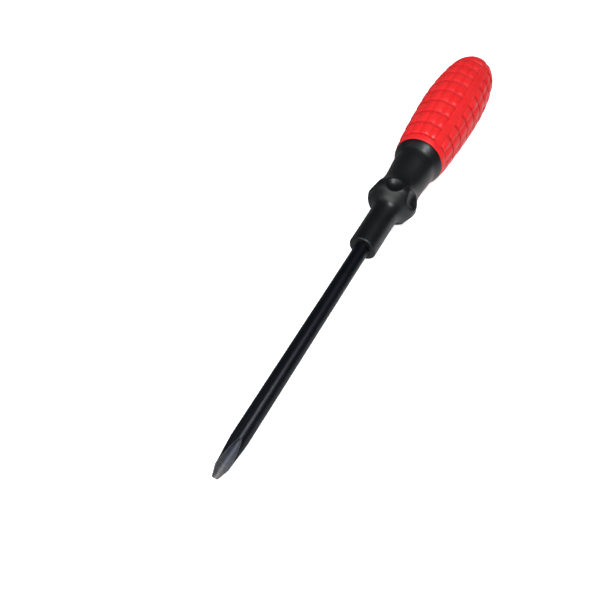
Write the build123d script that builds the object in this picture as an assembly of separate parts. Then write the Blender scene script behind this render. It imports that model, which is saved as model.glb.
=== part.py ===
from build123d import *
import math
import os

# Fixed-blade cross-point screwdriver with a two-material handle, in millimetres.
# The tool's axis is +X. The origin is the blade's tip, and the handle's butt is at the far end of +X.
# Angles round the axis are in degrees from +Y towards +Z, so 90 is the top of the tool.

# Blade: quarter-inch round steel, standing four inches out of the handle.
SHANK_RADIUS = 6.35 / 2
BLADE_REACH = 101.6
TIP_END_RADIUS = 1.3
TIP_END_ROUND = 1.2
POINT_HALF_ANGLE = 26.5

# The cross point's four flutes are the cut of a grinding wheel with a V-shaped rim.
FLUTE_COUNT = 4
FLUTE_TURN = 17.0
FLUTE_V_ANGLE = 110.0
FLUTE_V_DEPTH = 6.0
FLUTE_ROOT_ROUND = 1.6
FLUTE_WHEEL_RADIUS = 50.0
FLUTE_WHEEL_X = -1.2
POINT_CORE_RADIUS = 0.50

# Tang: the blade's length inside the handle, drawn down a little, with swaged wings that stop it turning.
TANG_RADIUS = 3.0
TANG_END = 174.0
TANG_CHAMFER = 1.2
WING_START = 142.0
WING_LENGTH = 12.0
WING_SPAN = 11.0
WING_THICKNESS = 2.6
WING_ROUND = 1.0

# Handle outline as (x, radius): a straight nose, the roll-stop collar, the waist and the shoulder.
NOSE_RADIUS = 5.92
NOSE_EDGE_ROUND = 0.7
NOSE_END = 114.5
COLLAR_AND_WAIST = [
    (117.5, 5.95),
    (120.5, 6.02),
    (123.6, 6.48),
    (125.3, 7.65),
    (126.8, 9.50),
    (128.4, 10.65),
    (130.5, 11.10),
    (132.8, 10.60),
    (136.2, 9.32),
    (140.2, 8.78),
    (147.0, 9.18),
    (152.0, 9.56),
    (154.8, 9.92),
    (156.2, 10.68),
    (157.5, 11.30),
    (159.6, 11.76),
    (163.0, 12.38),
]
# Then the grip's long swell, and the round butt that closes it.
SWELL = [
    (170.5, 13.20),
    (183.0, 14.08),
    (199.5, 14.72),
    (212.0, 14.22),
    (221.0, 13.14),
    (225.5, 12.20),
    (229.5, 10.74),
]
BUTT_X = 236.3

# Roll-stop collar: the lobes are what a ball-nosed cutter leaves between its hollows.
LOBE_COUNT = 6
LOBE_EDGE_ROUND = 1.1
HOLLOW_TURN = 27.0
HOLLOW_X = 130.6
HOLLOW_FLOOR = 8.7
HOLLOW_BALL_RADIUS = 5.2

# The hard core's skin ends and the soft sleeve begins at one plane, with a small groove between them.
PARTING_X = 158.9
CORE_EDGE_ROUND = 0.6
SLEEVE_EDGE_ROUND = 0.4

# Spine: the core's body inside the sleeve, as (x, radius), with a key under each smooth band.
SPINE = [
    (PARTING_X, 8.60),
    (172.0, 10.20),
    (199.0, 11.60),
    (214.0, 10.90),
    (226.0, 8.20),
]
SPINE_END_X = 231.5
BAND_COUNT = 3
KEY_WIDTH = 3.2
KEY_RADIUS = 12.4
KEY_START = 172.0
KEY_END = 218.0

INWARD = (0, -1)


def turned(outline):
    """The solid that a closed outline in the XY plane sweeps round the tool's axis."""
    return revolve(make_face(outline), axis=Axis.X)


def round_the_axis(shape, count, first=0.0):
    """Copies of a shape on the +Y side, spread evenly round the tool's axis."""
    step = 360.0 / count
    return [Rot(X=first + step * index) * shape for index in range(count)]


def build_flute_wheel():
    """Grinding wheel over the +Y side, its V-shaped rim reaching down to the point's core."""
    half_width = FLUTE_V_DEPTH * math.tan(math.radians(FLUTE_V_ANGLE / 2))
    rim = make_face(
        Polyline(
            (0, POINT_CORE_RADIUS),
            (half_width, POINT_CORE_RADIUS + FLUTE_V_DEPTH),
            (-half_width, POINT_CORE_RADIUS + FLUTE_V_DEPTH),
            close=True,
        )
    )
    rim = fillet(rim.vertices().sort_by(Axis.Y)[0], FLUTE_ROOT_ROUND)
    across = Plane(origin=(FLUTE_WHEEL_X, 0, 0), x_dir=(0, 0, -1), z_dir=(1, 0, 0))
    spindle = Axis((FLUTE_WHEEL_X, POINT_CORE_RADIUS + FLUTE_WHEEL_RADIUS, 0), (0, 0, 1))
    return revolve(across * rim, axis=spindle)


def build_wings():
    """Flat swaged across the tang, with rounded corners."""
    slab = Box(WING_LENGTH, WING_SPAN, WING_THICKNESS)
    slab = fillet(slab.edges().filter_by(Axis.Z), WING_ROUND)
    return Pos(WING_START + WING_LENGTH / 2, 0, 0) * slab


def build_blade():
    """Round shank with a fluted cross point at the tip and a winged tang at the other end."""
    point_length = (SHANK_RADIUS - TIP_END_RADIUS) / math.tan(math.radians(POINT_HALF_ANGLE))
    blade = turned(
        Polyline(
            (0, 0),
            (0, TIP_END_RADIUS),
            (point_length, SHANK_RADIUS),
            (BLADE_REACH, SHANK_RADIUS),
            (BLADE_REACH, TANG_RADIUS),
            (TANG_END - TANG_CHAMFER, TANG_RADIUS),
            (TANG_END, TANG_RADIUS - TANG_CHAMFER),
            (TANG_END, 0),
            close=True,
        )
    )
    blade = fillet(blade.edges().sort_by(Axis.X)[0], TIP_END_ROUND)
    blade -= round_the_axis(build_flute_wheel(), FLUTE_COUNT, 90 + FLUTE_TURN)
    return blade + build_wings()


def build_handle_form():
    """The handle's whole outer form, core and sleeve together, without the collar's hollows."""
    nose = Polyline(
        (BUTT_X, 0),
        (BLADE_REACH, 0),
        (BLADE_REACH, NOSE_RADIUS),
        (NOSE_END, NOSE_RADIUS),
    )
    side = Spline((NOSE_END, NOSE_RADIUS), *COLLAR_AND_WAIST, *SWELL)
    butt = Spline(side @ 1, (BUTT_X, 0), tangents=[side % 1, INWARD])
    form = turned(nose + side + butt)
    nose_edge = form.edges().filter_by(GeomType.CIRCLE).sort_by(Axis.X)[0]
    return fillet(nose_edge, NOSE_EDGE_ROUND)


def build_spine():
    """Rounded body inside the sleeve, with keys that the sleeve grips."""
    base = Polyline((SPINE_END_X, 0), (PARTING_X, 0), SPINE[0])
    side = Spline(*SPINE)
    end = Spline(side @ 1, (SPINE_END_X, 0), tangents=[side % 1, INWARD])
    key = Box(KEY_END - KEY_START, KEY_RADIUS, KEY_WIDTH)
    key = Pos((KEY_START + KEY_END) / 2, KEY_RADIUS / 2, 0) * key
    return turned(base + side + end) + round_the_axis(key, BAND_COUNT)


def build_collar_hollow():
    """Ball-nosed cutter over the +Y side of the collar."""
    return Pos(HOLLOW_X, HOLLOW_FLOOR + HOLLOW_BALL_RADIUS, 0) * Sphere(HOLLOW_BALL_RADIUS)


def half_space(x, ahead):
    """Box that holds everything on one side of the plane at x."""
    size = 2 * BUTT_X
    side = 1 if ahead else -1
    return Pos(x + side * size / 2, 0, 0) * Box(size, size, size)


def is_hollow_edge(edge):
    """True for the closed edge round one of the collar's hollows."""
    off_centre = edge.bounding_box().center().X - HOLLOW_X
    return edge.is_closed and abs(off_centre) < 1


def build_core(form, blade):
    """Hard core: nose, lobed collar, waist and shoulder in the open, and the spine in the sleeve."""
    skin = form & half_space(PARTING_X, ahead=False)
    skin = fillet(skin.edges().sort_by(Axis.X)[-1], CORE_EDGE_ROUND)
    skin -= round_the_axis(build_collar_hollow(), LOBE_COUNT, HOLLOW_TURN)
    skin = fillet(skin.edges().filter_by(is_hollow_edge), LOBE_EDGE_ROUND)
    return skin + build_spine() - blade


def build_sleeve(form, core, blade):
    """Soft sleeve: the rest of the handle's form, moulded on to the core."""
    sleeve = form & half_space(PARTING_X, ahead=True)
    sleeve = fillet(sleeve.edges().sort_by(Axis.X)[0], SLEEVE_EDGE_ROUND)
    return sleeve - core - blade


os.makedirs("parts", exist_ok=True)
blade = build_blade()
form = build_handle_form()
handle_core = build_core(form, blade)
soft_grip = build_sleeve(form, handle_core, blade)
for name, shape in (("blade", blade), ("handle_core", handle_core), ("soft_grip", soft_grip)):
    export_step(shape, f"parts/{name}.step")
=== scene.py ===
import math

import bpy
import numpy as np
from mathutils import Matrix, Vector
from mathutils.bvhtree import BVHTree


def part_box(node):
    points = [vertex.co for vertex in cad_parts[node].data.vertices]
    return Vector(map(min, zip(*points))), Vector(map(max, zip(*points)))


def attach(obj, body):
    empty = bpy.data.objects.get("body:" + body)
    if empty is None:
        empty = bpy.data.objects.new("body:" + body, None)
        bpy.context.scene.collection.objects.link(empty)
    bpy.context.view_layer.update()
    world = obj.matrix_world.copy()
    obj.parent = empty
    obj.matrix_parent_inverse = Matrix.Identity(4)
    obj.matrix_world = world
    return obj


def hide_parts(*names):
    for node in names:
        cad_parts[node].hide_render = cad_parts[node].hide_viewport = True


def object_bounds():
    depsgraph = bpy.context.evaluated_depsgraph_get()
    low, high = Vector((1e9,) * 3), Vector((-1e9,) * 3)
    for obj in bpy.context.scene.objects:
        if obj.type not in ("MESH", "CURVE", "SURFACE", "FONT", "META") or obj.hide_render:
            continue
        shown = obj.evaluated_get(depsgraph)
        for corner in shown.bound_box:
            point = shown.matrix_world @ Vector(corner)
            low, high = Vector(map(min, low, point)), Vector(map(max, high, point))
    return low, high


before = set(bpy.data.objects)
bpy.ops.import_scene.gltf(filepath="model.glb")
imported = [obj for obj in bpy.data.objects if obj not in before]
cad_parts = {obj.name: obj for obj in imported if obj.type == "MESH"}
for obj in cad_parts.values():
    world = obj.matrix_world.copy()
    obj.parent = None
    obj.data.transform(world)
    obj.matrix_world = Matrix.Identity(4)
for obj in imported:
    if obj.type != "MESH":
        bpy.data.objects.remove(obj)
cad_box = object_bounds()

# Cross-point screwdriver lying on a pale table. Metres, in the CAD frame: the tool's axis is +X and the
# tip is at the origin. Angles round the axis are in degrees from +Y towards +Z, as in the CAD source.
MM = 0.001

# Camera: above the blade's tip, looking along the tool towards its handle.
CAMERA_SPOT = Vector((-9.16, -39.47, 152.60)) * MM
CAMERA_AIM = Vector((65.22, -17.24, 0.0)) * MM
CAMERA_ROLL = 11.486
CAMERA_LENS = 28.2
CAMERA_SHIFT = (-0.09875, 0.06367)
CAMERA_CLIP = (5 * MM, 10.0)

# Soft sleeve: rows of pads between ring grooves, in panels parted by smooth bands. A pad's face is
# highest near the front of its row, and falls away towards its back and its two sides.
ROW_COUNT = 8
ROW_PITCH = 7.63 * MM
FIRST_GROOVE = 3.3 * MM
PANEL_COUNT = 3
BAND_ANGLE = 16.0
PAD_ANGLES = (18.5, 22.0, 23.0, 22.0, 18.5)
GROOVE_HALF = 0.22 * MM
GROOVE_DEPTH = 0.36 * MM
PAD_EDGE = 1.25 * MM
PAD_CORNER = 1.5 * MM
PAD_CORNER_SHARE = 0.9
PAD_CROWN = 0.46 * MM
PAD_TOP = 0.28
PAD_FALL_ALONG = 0.7
PAD_FALL_ACROSS = 0.5
BAND_RECESS = 0.38 * MM
BAND_RUN_OUT = 2.0 * MM
BAND_SIDE = 1.7 * MM
BAND_FADE = 1.3

# Painted groove shade: darker red painted into the grooves and onto the pads' back ends, where shade
# falls. Its reach on the tip's side of a ring groove, its reach on the other side and beside a groove
# along the tool, and how strong it is beside the latter.
RING_SHADE_REACH = 1.9 * MM
GROOVE_SHADE_REACH = 0.55 * MM
LINE_SHADE_SHARE = 0.45

# The sleeve's outline, read from the CAD surface: its rounded front edge, from an angle in radians on,
# then its length and its rounded butt.
FRONT_ROUND = 0.6 * MM
FRONT_START_ANGLE = 0.08
FRONT_READINGS = 8
AFTER_FRONT = 1.0 * MM
OUTLINE_STEP = 3 * MM
BUTT_LENGTH = 12 * MM
BUTT_READINGS = 16
READING_ANGLES = [7.0 + 60.0 * i for i in range(6)]

# The sleeve's mesh: rings round it and lines along it.
FRONT_RINGS = 6
FRONT_RINGS_END = 0.75 * MM
RINGS_BEFORE_ROWS = 10
RINGS_A_ROW = 18
RINGS_ON_BUTT = 26
LINES_A_PAD = 14
LINES_A_BAND = 8

# The sleeve's inner wall: the slots that the core's keys fill, and the rounded end of its hollow. The
# ring counts are those before the slots, along them, after them and on the rounded end.
MOUTH_GAP = 0.001 * MM
MOUTH_END = 2 * MM
KEY_START = 172 * MM
KEY_END = 218 * MM
KEY_SHARP = 0.02 * MM
HOLLOW_ROUND = 5 * MM
INNER_RINGS = (6, 14, 4, 8)

# The blade before its flutes are ground, as in the CAD source: the cone's radius at the tip and at
# CONE_LENGTH from it, and the shank's radius.
CONE_TIP_RADIUS = 1.3 * MM
CONE_LENGTH = 10 * MM
CONE_RADIUS = 6.29 * MM
SHANK_RADIUS = 3.175 * MM

# The table: flat under the tool and falling away beyond its tip. BALANCE_X is where the tool's centre of
# mass lies along the axis, and the tool rests on one point on each side of it.
BALANCE_X = 146 * MM
TABLE_REACH = 3.0
TABLE_GAP = 0.01 * MM
TABLE_STEPS = 12
FALL_BEYOND_TIP = 60 * MM
FALL_LENGTH = 0.2
FALL_FIRST_STEP = 0.01
FALL_CURVE = 0.5


def cad_surface(node):
    """A CAD node's surface, for reading its radius with rays."""
    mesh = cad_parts[node].data
    return BVHTree.FromPolygons(
        [v.co for v in mesh.vertices],
        [p.vertices[:] for p in mesh.polygons],
    )


def radial(angle):
    """Unit vector away from the axis."""
    return Vector((0.0, math.cos(math.radians(angle)), math.sin(math.radians(angle))))


def wall_radius(surface, x, angle, outer):
    """Radius of the outer or inner wall of a hollow body at one place along and round the axis."""
    away = radial(angle)
    far = 100 * MM
    if outer:
        hit = surface.ray_cast(Vector((x, 0, 0)) + away * far, -away)[0]
    else:
        hit = surface.ray_cast(Vector((x, 0, 0)), away)[0]
    return 0.0 if hit is None else math.hypot(hit.y, hit.z)


def eased(count):
    """Steps from 0 to 1 that crowd together at both ends."""
    t = np.arange(count) / count
    return 0.5 - 0.5 * np.cos(np.pi * t)


def smooth_step(t):
    t = np.clip(t, 0.0, 1.0)
    return t * t * (3 - 2 * t)


def smooth_curve(at, known, values):
    """Values of the smooth curve through the known ones, by cubic pieces."""
    slope = np.gradient(values, known)
    i = np.clip(np.searchsorted(known, at) - 1, 0, len(known) - 2)
    span = known[i + 1] - known[i]
    t = (at - known[i]) / span
    a, b = values[i], values[i + 1]
    sa, sb = slope[i] * span, slope[i + 1] * span
    return (
        a * (2 * t**3 - 3 * t**2 + 1)
        + b * (3 * t**2 - 2 * t**3)
        + sa * (t**3 - 2 * t**2 + t)
        + sb * (t**3 - t**2)
    )


class SleeveOutline:
    """The sleeve's outer line from its front edge to the middle of its butt, measured along the line."""

    def __init__(self, surface, low, high):
        start, end = low.x, high.x
        front = np.linspace(FRONT_START_ANGLE, np.pi / 2, FRONT_READINGS)
        butt = np.linspace(0, np.pi / 2, BUTT_READINGS)
        x = np.concatenate([
            start + FRONT_ROUND * (1 - np.cos(front)),
            np.arange(start + FRONT_ROUND + AFTER_FRONT, end - BUTT_LENGTH, OUTLINE_STEP),
            end - BUTT_LENGTH * (1 - np.sin(butt))[:-1],
        ])
        radii = [max(wall_radius(surface, p, a, True) for a in READING_ANGLES) for p in x]
        self.x = np.append(x, end)
        self.r = np.append(radii, 0.0)
        steps = np.hypot(np.diff(self.x), np.diff(self.r))
        self.s = np.concatenate([[0.0], np.cumsum(steps)])

    def length_at(self, x):
        """How far along the outline lies the place x on the axis."""
        return float(np.interp(x, self.x, self.s))

    def points(self, s):
        """Places, radii and outward directions at distances along the outline."""
        x = smooth_curve(s, self.s, self.x)
        r = smooth_curve(s, self.s, self.r)
        step = 0.02 * MM
        ahead = np.clip(s + step, 0, self.s[-1])
        behind = np.clip(s - step, 0, self.s[-1])
        dx = smooth_curve(ahead, self.s, self.x) - smooth_curve(behind, self.s, self.x)
        dr = smooth_curve(ahead, self.s, self.r) - smooth_curve(behind, self.s, self.r)
        size = np.hypot(dx, dr)
        return x, r, -dr / size, dx / size


def ring_places(outline, low):
    """Distances along the outline of the mesh's rings, each with its row and its place in the row, and
    the distances of the ring grooves."""
    groove_x = [low.x + FIRST_GROOVE + ROW_PITCH * i for i in range(ROW_COUNT + 1)]
    grooves = [outline.length_at(x) for x in groove_x]
    front = np.linspace(0, FRONT_RINGS_END, FRONT_RINGS, endpoint=False)
    places = [(s, -1, 0.0) for s in front]
    margin = np.linspace(FRONT_RINGS_END, grooves[0], RINGS_BEFORE_ROWS, endpoint=False)
    places += [(s, -1, 0.0) for s in margin]
    for row in range(ROW_COUNT):
        span = grooves[row + 1] - grooves[row]
        places += [(grooves[row] + span * t, row, t) for t in eased(RINGS_A_ROW)]
    butt = np.linspace(grooves[-1], outline.s[-1], RINGS_ON_BUTT, endpoint=False)
    places += [(s, ROW_COUNT, 0.0) for s in butt]
    return places, grooves


def line_places():
    """The mesh's lines along the tool, each as its angle, its pad's width or None on a band, its place
    across the pad or band, and whether a band is next to it there."""
    lines = []
    for panel in range(PANEL_COUNT):
        angle = 360.0 / PANEL_COUNT * panel - BAND_ANGLE / 2
        lines += [(angle + BAND_ANGLE * t, None, t, True) for t in eased(LINES_A_BAND)]
        angle += BAND_ANGLE
        for i, width in enumerate(PAD_ANGLES):
            for t in eased(LINES_A_PAD):
                beside_band = (i == 0 and t < 0.5) or (i == len(PAD_ANGLES) - 1 and t > 0.5)
                lines.append((angle + width * t, width, t, beside_band))
            angle += width
    return lines


def edge_gap(place, size):
    """Distance from a place on a pad to the nearer of its two ends, from 0 at an end."""
    return min(place, size - place)


def inside_pad(along, across, length, width):
    """How far inside a pad's rounded outline a point lies, negative in the grooves round it."""
    half = Vector((length / 2 - GROOVE_HALF, width / 2 - GROOVE_HALF))
    corner = min(PAD_CORNER, PAD_CORNER_SHARE * half.x, PAD_CORNER_SHARE * half.y)
    qx = abs(along - length / 2) - half.x + corner
    qy = abs(across - width / 2) - half.y + corner
    outside = math.hypot(max(qx, 0.0), max(qy, 0.0)) + min(max(qx, qy), 0.0) - corner
    return -outside


def pad_relief(t, u, length, width, beside_band):
    """Depth of a pad's face below the outer form, and how much painted groove shade it has, from 0 to 1.
    """
    along, across = t * length, u * width
    depth = inside_pad(along, across, length, width)
    rise = float(smooth_step((depth + GROOVE_HALF) / (PAD_EDGE + GROOVE_HALF)))
    slope = max(0.0, t - PAD_TOP) / (1 - PAD_TOP)
    crown = (1 - PAD_FALL_ALONG * slope**2) * (1 - PAD_FALL_ACROSS * (2 * u - 1) ** 2)
    # Painted shade reaches further onto a pad's back end than onto its front.
    ring_shade = 1 - float(smooth_step(min(along / GROOVE_SHADE_REACH, (length - along) / RING_SHADE_REACH)))
    line_shade = 1 - float(smooth_step(edge_gap(across, width) / GROOVE_SHADE_REACH))
    if beside_band:
        line_shade = 0.0
    recess = GROOVE_DEPTH * (1 - rise) + PAD_CROWN * (1 - crown)
    return recess, max(ring_shade, LINE_SHADE_SHARE * line_shade)


def margin_relief(s, grooves, band_gap, outline_end):
    """The same beyond the rows, where the sleeve is smooth and the bands run out into it.
    The band gap is how far inside a band's edge the point lies, or None off the bands."""
    gap = min(abs(s - grooves[0]), abs(s - grooves[-1]))
    if band_gap is None:
        # Off the bands: a recess and painted groove shade beside the first and last ring grooves.
        near = 1 - float(smooth_step(gap / PAD_EDGE))
        return GROOVE_DEPTH * near, near
    if s <= grooves[0]:
        fade = s / grooves[0]
    else:
        fade = (outline_end - s) / (outline_end - grooves[-1])
    beyond = float(smooth_step(gap / BAND_RUN_OUT))
    side = float(smooth_step(band_gap / BAND_SIDE))
    return BAND_RECESS * float(smooth_step(BAND_FADE * fade)) * (1 - beyond * (1 - side)), 0.0


def sleeve_relief(ring, line, radius, grooves, outline_end):
    """Depth of the sleeve's face below its outer form at one point of its mesh, and how much painted
    groove shade it has there."""
    s, row, t = ring
    angle, width, u, beside_band = line
    if not 0 <= row < ROW_COUNT:
        band_gap = math.radians(BAND_ANGLE) * radius * edge_gap(u, 1.0) if width is None else None
        return margin_relief(s, grooves, band_gap, outline_end)
    if width is None:
        return BAND_RECESS, 0.0
    length = grooves[row + 1] - grooves[row]
    return pad_relief(t, u, length, math.radians(width) * radius, beside_band)


def ring_faces(first, second, count):
    """Faces between two rings of points, given the index of each ring's first point."""
    faces = []
    for j in range(count):
        k = (j + 1) % count
        faces.append((first + j, second + j, second + k, first + k))
    return faces


def cap_faces(first, tip, count):
    """Faces from a ring of points to one point."""
    return [(first + j, tip, first + (j + 1) % count) for j in range(count)]


def build_sleeve():
    """Soft red sleeve with its moulded pads, closed round the core."""
    low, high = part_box("soft_grip")
    surface = cad_surface("soft_grip")
    outline = SleeveOutline(surface, low, high)
    rings, grooves = ring_places(outline, low)
    lines = line_places()
    count = len(lines)
    x, r, nx, nr = outline.points(np.array([ring[0] for ring in rings]))
    points, groove_shades = [], []
    for i, ring in enumerate(rings):
        for line in lines:
            recess, shade_amount = sleeve_relief(ring, line, r[i], grooves, outline.s[-1])
            out = radial(line[0]) * (r[i] - nr[i] * recess)
            points.append(out + Vector((x[i] - nx[i] * recess, 0, 0)))
            groove_shades.append(shade_amount)
    points.append(Vector((high.x, 0, 0)))
    butt = len(points) - 1
    faces = []
    for i in range(len(rings) - 1):
        faces += ring_faces(i * count, (i + 1) * count, count)
    faces += cap_faces((len(rings) - 1) * count, butt, count)

    first_inner = len(points)
    inner_x, inner_end = inner_places(surface, low)
    for place in inner_x:
        for line in lines:
            radius = wall_radius(surface, place, line[0], False)
            points.append(Vector((place, 0, 0)) + radial(line[0]) * radius)
    points.append(Vector((inner_end, 0, 0)))
    inner_tip = len(points) - 1
    inner = ring_faces(0, first_inner, count)
    for i in range(len(inner_x) - 1):
        inner += ring_faces(first_inner + i * count, first_inner + (i + 1) * count, count)
    inner += cap_faces(first_inner + (len(inner_x) - 1) * count, inner_tip, count)
    faces += [face[::-1] for face in inner]

    mesh = bpy.data.meshes.new("sleeve")
    mesh.from_pydata(points, [], faces)
    groove_shades += [0.0] * (len(points) - len(groove_shades))
    # The painted groove shade of each point, which the red rubber reads.
    attribute = mesh.attributes.new("groove_shade", "FLOAT", "POINT")
    attribute.data.foreach_set("value", np.array(groove_shades, np.float32))
    mesh.polygons.foreach_set("use_smooth", [True] * len(mesh.polygons))
    mesh.update()
    piece = bpy.data.objects.new("pad_sleeve", mesh)
    bpy.context.scene.collection.objects.link(piece)
    return piece


def inner_places(surface, low):
    """Places along the axis of the rings of the sleeve's inner wall, and where that wall closes."""
    outside = Vector((low.x - 5 * MM, 0, 0))
    end = surface.ray_cast(outside, Vector((1, 0, 0)))[0].x
    before, along, after, rounded = INNER_RINGS
    places = [low.x + MOUTH_GAP]
    places += list(np.linspace(low.x + MOUTH_END, KEY_START - KEY_SHARP, before))
    places += list(np.linspace(KEY_START + KEY_SHARP, KEY_END - KEY_SHARP, along))
    places += list(np.linspace(KEY_END + KEY_SHARP, end - HOLLOW_ROUND, after))
    turns = np.linspace(0, np.pi / 2, rounded)
    places += list(end - HOLLOW_ROUND * (1 - np.sin(turns)[1:-1]))
    return places, end


class Look:
    """A node material, made one node at a time."""

    def __init__(self, name):
        self.material = bpy.data.materials.new(name)
        self.material.use_nodes = True
        self.tree = self.material.node_tree
        self.shader = self.tree.nodes["Principled BSDF"]
        self.place = self.add("ShaderNodeTexCoord").outputs["Object"]

    def add(self, kind, inputs=None, **settings):
        node = self.tree.nodes.new(kind)
        for key, value in settings.items():
            setattr(node, key, value)
        for key, value in (inputs or {}).items():
            self.give(node.inputs[key], value)
        return node

    def give(self, socket, value):
        if isinstance(value, bpy.types.NodeSocket):
            self.tree.links.new(value, socket)
        else:
            socket.default_value = value

    def set(self, **inputs):
        for key, value in inputs.items():
            self.give(self.shader.inputs[key.replace("_", " ").title().replace("Ior", "IOR")], value)

    def stretched(self, scale):
        return self.add("ShaderNodeMapping", {"Vector": self.place, "Scale": scale}).outputs["Vector"]

    def noise(self, scale, detail=3.0, roughness=0.5, where=None):
        node = self.add(
            "ShaderNodeTexNoise",
            {"Vector": where or self.place, "Scale": scale, "Detail": detail, "Roughness": roughness},
        )
        return node.outputs["Fac"]

    def ramp(self, value, low, high, to_low=0.0, to_high=1.0):
        node = self.add(
            "ShaderNodeMapRange",
            {"Value": value, "From Min": low, "From Max": high, "To Min": to_low, "To Max": to_high},
        )
        return node.outputs["Result"]

    def math(self, operation, a, b=0.0):
        return self.add("ShaderNodeMath", {0: a, 1: b}, operation=operation).outputs[0]

    def mix(self, share, a, b):
        node = self.add("ShaderNodeMix", data_type="RGBA")
        self.give(node.inputs[0], share)
        self.give(node.inputs[6], a)
        self.give(node.inputs[7], b)
        return node.outputs[2]

    def bump(self, height, strength, distance, under=None):
        inputs = {"Height": height, "Strength": strength, "Distance": distance}
        if under is not None:
            inputs["Normal"] = under
        return self.add("ShaderNodeBump", inputs).outputs["Normal"]

    def edges(self, radius, start, end):
        """1 on edges and 0 on flats, from how far a rounded normal leaves the true one."""
        rounded = self.add("ShaderNodeBevel", {"Radius": radius}, samples=8).outputs["Normal"]
        true = self.add("ShaderNodeNewGeometry").outputs["Normal"]
        dot = self.add("ShaderNodeVectorMath", {0: rounded, 1: true}, operation="DOT_PRODUCT")
        return self.ramp(dot.outputs["Value"], start, end)


def shade(red, green, blue):
    """A colour given as screen values from 0 to 1, in the linear values that shaders use."""
    linear = [((v + 0.055) / 1.055) ** 2.4 if v > 0.04045 else v / 12.92 for v in (red, green, blue)]
    return (*linear, 1.0)


def red_rubber():
    """Soft red moulded rubber: fine matt grain and a deeper red painted as shade by the grooves."""
    look = Look("red_rubber")
    plain, light = shade(0.96, 0.15, 0.16), shade(0.98, 0.18, 0.18)
    patches, shaded_groove_red = shade(0.91, 0.10, 0.13), shade(0.82, 0.02, 0.07)
    groove_shade = look.add("ShaderNodeAttribute", attribute_name="groove_shade").outputs["Fac"]
    cloud = look.noise(90, detail=3.0)
    grain = look.noise(3200, detail=4.0, roughness=0.65)
    patch = look.noise(420, detail=3.0)
    tone = look.mix(look.ramp(cloud, 0.35, 0.65), plain, light)
    tone = look.mix(look.ramp(patch, 0.45, 0.75, 0.0, 0.35), tone, patches)
    # Painted shade: a darker red in and beside the grooves, from the sleeve's attribute.
    tone = look.mix(look.ramp(groove_shade, 0.1, 1.0), tone, shaded_groove_red)
    grain_rough = look.ramp(grain, 0.3, 0.7, 0.36, 0.46)
    rough = look.math("ADD", grain_rough, look.ramp(groove_shade, 0.2, 1.0, 0.0, 0.12))
    normal = look.bump(grain, strength=0.35, distance=0.05 * MM)
    look.set(base_color=tone, roughness=rough, normal=normal)
    look.set(specular_ior_level=0.5, subsurface_weight=0.08, subsurface_scale=0.6 * MM)
    return look.material


def black_plastic():
    """Hard black moulded plastic: spark-eroded satin grain and faint scuffs."""
    look = Look("black_plastic")
    plain, light = shade(0.028, 0.038, 0.044), shade(0.042, 0.054, 0.060)
    scuffed = shade(0.16, 0.17, 0.18)
    grain = look.noise(2600, detail=4.0, roughness=0.6)
    cloud = look.noise(60, detail=3.0)
    scuff = look.noise(900, detail=5.0, roughness=0.7, where=look.stretched((0.35, 1.0, 1.0)))
    tone = look.mix(look.ramp(cloud, 0.35, 0.65), plain, light)
    tone = look.mix(look.ramp(scuff, 0.60, 0.80, 0.0, 0.25), tone, scuffed)
    grain_rough = look.ramp(grain, 0.3, 0.7, 0.36, 0.46)
    rough = look.math("ADD", grain_rough, look.ramp(cloud, 0.35, 0.7, -0.03, 0.05))
    normal = look.bump(grain, strength=0.30, distance=0.04 * MM)
    look.set(base_color=tone, roughness=rough, normal=normal, specular_ior_level=0.5)
    return look.material


def black_oxide():
    """Blackened steel: fine drawing lines along the shank, dull brown showing through at the worn point,
    and on the point's edges a pale grey that is partly worn bare metal and partly a painted highlight.
    The flutes are where the surface lies below the cone the point is ground on."""
    look = Look("black_oxide")
    plain, light = shade(0.030, 0.050, 0.080), shade(0.055, 0.075, 0.105)
    ground, brown, bare_and_glint = shade(0.33, 0.35, 0.40), shade(0.52, 0.47, 0.40), shade(0.62, 0.62, 0.63)
    lines = look.noise(1500, detail=4.0, roughness=0.6, where=look.stretched((0.02, 1.0, 1.0)))
    cloud = look.noise(160, detail=4.0, roughness=0.6)
    grain = look.noise(3500, detail=3.0)
    patch = look.noise(700, detail=5.0, roughness=0.7)

    along = look.add("ShaderNodeSeparateXYZ", {"Vector": look.place}).outputs["X"]
    across = look.stretched((0.0, 1.0, 1.0))
    off_axis = look.add("ShaderNodeVectorMath", {0: across}, operation="LENGTH").outputs["Value"]
    cone = look.ramp(along, 0.0, CONE_LENGTH, CONE_TIP_RADIUS, CONE_RADIUS)
    whole = look.math("MINIMUM", cone, SHANK_RADIUS)
    sunk = look.ramp(look.math("SUBTRACT", whole, off_axis), 0.05 * MM, 0.45 * MM)
    flute = look.math("MULTIPLY", sunk, look.ramp(along, 15 * MM, 2 * MM, 0.35, 1.0))
    worn_length = look.ramp(along, 0.0, 9 * MM, 1.0, 0.0)
    wear = look.math("MULTIPLY", look.ramp(patch, 0.42, 0.62), worn_length)
    # Pale grey on the point's edges: worn bare metal, and a painted highlight where the edges catch the
    # light.
    edge_length = look.ramp(along, 14 * MM, 24 * MM, 1.0, 0.0)
    edge = look.math("MULTIPLY", look.edges(0.25 * MM, 0.995, 0.90), edge_length)

    tone = look.mix(look.ramp(cloud, 0.35, 0.65), plain, light)
    tone = look.mix(flute, tone, ground)
    tone = look.mix(look.math("MULTIPLY", wear, 0.8), tone, brown)
    tone = look.mix(edge, tone, bare_and_glint)
    line_rough = look.ramp(lines, 0.3, 0.7, 0.33, 0.43)
    rough = look.math("ADD", line_rough, look.math("MULTIPLY", flute, 0.16))
    line_bump = look.bump(lines, strength=0.25, distance=0.02 * MM)
    normal = look.bump(grain, strength=0.15, distance=0.02 * MM, under=line_bump)
    look.set(base_color=tone, metallic=0.55, roughness=rough, normal=normal)
    return look.material


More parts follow.
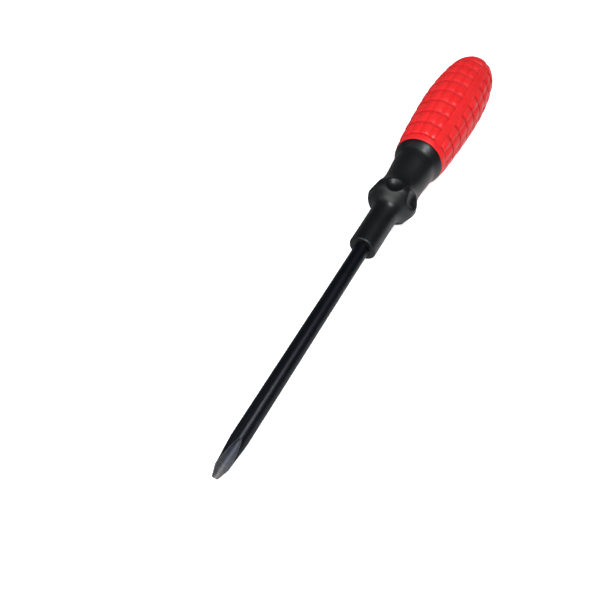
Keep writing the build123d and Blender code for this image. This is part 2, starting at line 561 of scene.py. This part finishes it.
def table_top():
    """Pale matt table, seen as if lit from within. What it throws back on the tool is brighter on the
    tool's -Y side and greyer on the other: painted shade on the +Y side, standing in for the shadow
    that the tool casts there."""
    look = Look("table_top")
    white, shadow_grey = shade(1.0, 1.0, 1.0), shade(0.50, 0.50, 0.50)
    cloud = look.noise(20, detail=3.0)
    pale = look.mix(cloud, shade(0.95, 0.95, 0.95), shade(0.96, 0.96, 0.96))
    look.set(base_color=pale, roughness=0.7, specular_ior_level=0.2)
    look.set(emission_color=white, emission_strength=0.85)
    side = look.add("ShaderNodeSeparateXYZ", {"Vector": look.place}).outputs["Y"]
    # Painted shade: the table that the tool reflects turns grey on its +Y side.
    painted_side_shade = look.mix(look.ramp(side, -15 * MM, 15 * MM), white, shadow_grey)
    thrown = look.add("ShaderNodeBsdfDiffuse", {"Color": painted_side_shade}).outputs[0]
    seen = look.add("ShaderNodeLightPath").outputs["Is Camera Ray"]
    choose = look.add("ShaderNodeMixShader", {0: seen, 1: thrown, 2: look.shader.outputs[0]})
    look.tree.links.new(choose.outputs[0], look.tree.nodes["Material Output"].inputs["Surface"])
    return look.material


def rest_line():
    """The two points (x, z) that the tool rests on, one on each side of its centre of mass, from the
    lower hull of the CAD nodes."""
    found = [v.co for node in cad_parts.values() for v in node.data.vertices]
    chain = []
    for p in sorted((co.x, co.z) for co in found):
        while len(chain) > 1 and turn(chain[-2], chain[-1], p) <= 0:
            chain.pop()
        chain.append(p)
    after = next(i for i, p in enumerate(chain) if p[0] > BALANCE_X)
    return chain[after - 1], chain[after]


def turn(a, b, c):
    """Positive where the way from a over b to c bends to the left, and negative where it bends right."""
    return (b[0] - a[0]) * (c[1] - a[1]) - (b[1] - a[1]) * (c[0] - a[0])


def build_table():
    """Pale table under the tool, tilted as the tool's rest line is, and falling away gently beyond its
    tip."""
    (x0, z0), (x1, z1) = rest_line()
    slope = (z1 - z0) / (x1 - x0)
    fall_start = x0 - FALL_BEYOND_TIP
    fall_end = fall_start - FALL_LENGTH
    xs = np.concatenate([
        np.linspace(-TABLE_REACH, fall_end, TABLE_STEPS),
        np.linspace(fall_end + FALL_FIRST_STEP, fall_start, TABLE_STEPS),
        [TABLE_REACH],
    ])
    points = []
    for x in xs:
        drop = FALL_CURVE * max(0.0, min(fall_start - x, FALL_LENGTH)) ** 2
        z = z0 + slope * (max(x, fall_end) - x0) - drop - TABLE_GAP
        points += [(x, -TABLE_REACH, z), (x, TABLE_REACH, z)]
    faces = [(2 * i, 2 * i + 2, 2 * i + 3, 2 * i + 1) for i in range(len(xs) - 1)]
    mesh = bpy.data.meshes.new("table")
    mesh.from_pydata(points, [], faces)
    mesh.polygons.foreach_set("use_smooth", [True] * len(mesh.polygons))
    table = bpy.data.objects.new("table", mesh)
    bpy.context.scene.collection.objects.link(table)
    mesh.materials.append(table_top())


def add_light(name, toward, distance, size, power, colour=(1, 1, 1)):
    """Soft round lamp in a given direction from the tool's middle, facing it."""
    lamp = bpy.data.lights.new(name, "AREA")
    lamp.shape = "DISK"
    lamp.size = size
    lamp.energy = power
    lamp.color = colour
    light = bpy.data.objects.new(name, lamp)
    bpy.context.scene.collection.objects.link(light)
    direction = Vector(toward).normalized()
    middle = Vector(((cad_box[0].x + cad_box[1].x) / 2, 0, 0))
    light.location = middle + direction * distance
    light.rotation_mode = "QUATERNION"
    light.rotation_quaternion = direction.to_track_quat("Z", "Y")


def set_up_light():
    """A large soft lamp above the tip's side, a weak one from the +Y side, a small one high over the
    tool for the bright lines on it, and a dim room that the camera sees as pale."""
    add_light("main_lamp", toward=(-0.66, 0.10, 0.74), distance=1.1, size=1.2, power=10.5)
    add_light("fill_lamp", toward=(-0.35, 0.75, 0.55), distance=1.0, size=0.8, power=1.2)
    cool = (0.95, 0.98, 1.0)
    add_light("high_lamp", toward=(0.02, -0.23, 0.97), distance=1.0, size=0.22, power=5.2, colour=cool)
    world = bpy.data.worlds.new("room")
    world.use_nodes = True
    bpy.context.scene.world = world
    tree = world.node_tree
    dim = tree.nodes["Background"]
    dim.inputs["Color"].default_value = (0.80, 0.88, 1.0, 1.0)
    dim.inputs["Strength"].default_value = 0.07
    pale = tree.nodes.new("ShaderNodeBackground")
    pale.inputs["Color"].default_value = (1.0, 1.0, 1.0, 1.0)
    pale.inputs["Strength"].default_value = 1.0
    path = tree.nodes.new("ShaderNodeLightPath")
    choose = tree.nodes.new("ShaderNodeMixShader")
    tree.links.new(path.outputs["Is Camera Ray"], choose.inputs["Fac"])
    tree.links.new(dim.outputs[0], choose.inputs[1])
    tree.links.new(pale.outputs[0], choose.inputs[2])
    tree.links.new(choose.outputs[0], tree.nodes["World Output"].inputs["Surface"])


def set_up_camera():
    """Camera at the photograph's viewing angle."""
    camera = bpy.data.objects.new("camera", bpy.data.cameras.new("camera"))
    bpy.context.scene.collection.objects.link(camera)
    camera.location = CAMERA_SPOT
    level = (CAMERA_SPOT - CAMERA_AIM).to_track_quat("Z", "Y")
    roll = Matrix.Rotation(math.radians(CAMERA_ROLL), 4, "Z").to_quaternion()
    camera.rotation_mode = "QUATERNION"
    camera.rotation_quaternion = level @ roll
    camera.data.lens = CAMERA_LENS
    camera.data.shift_x, camera.data.shift_y = CAMERA_SHIFT
    camera.data.clip_start, camera.data.clip_end = CAMERA_CLIP
    bpy.context.scene.camera = camera


def finish_node(name, material):
    """Gives a CAD node's own object a better material."""
    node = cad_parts[name]
    node.data.materials.clear()
    node.data.materials.append(material)


finish_node("blade", black_oxide())
finish_node("handle_core", black_plastic())
sleeve = build_sleeve()
sleeve.data.materials.append(red_rubber())
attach(sleeve, "root")
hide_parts("soft_grip")

build_table()
set_up_light()
set_up_camera()
bpy.context.scene.view_settings.view_transform = "Standard"
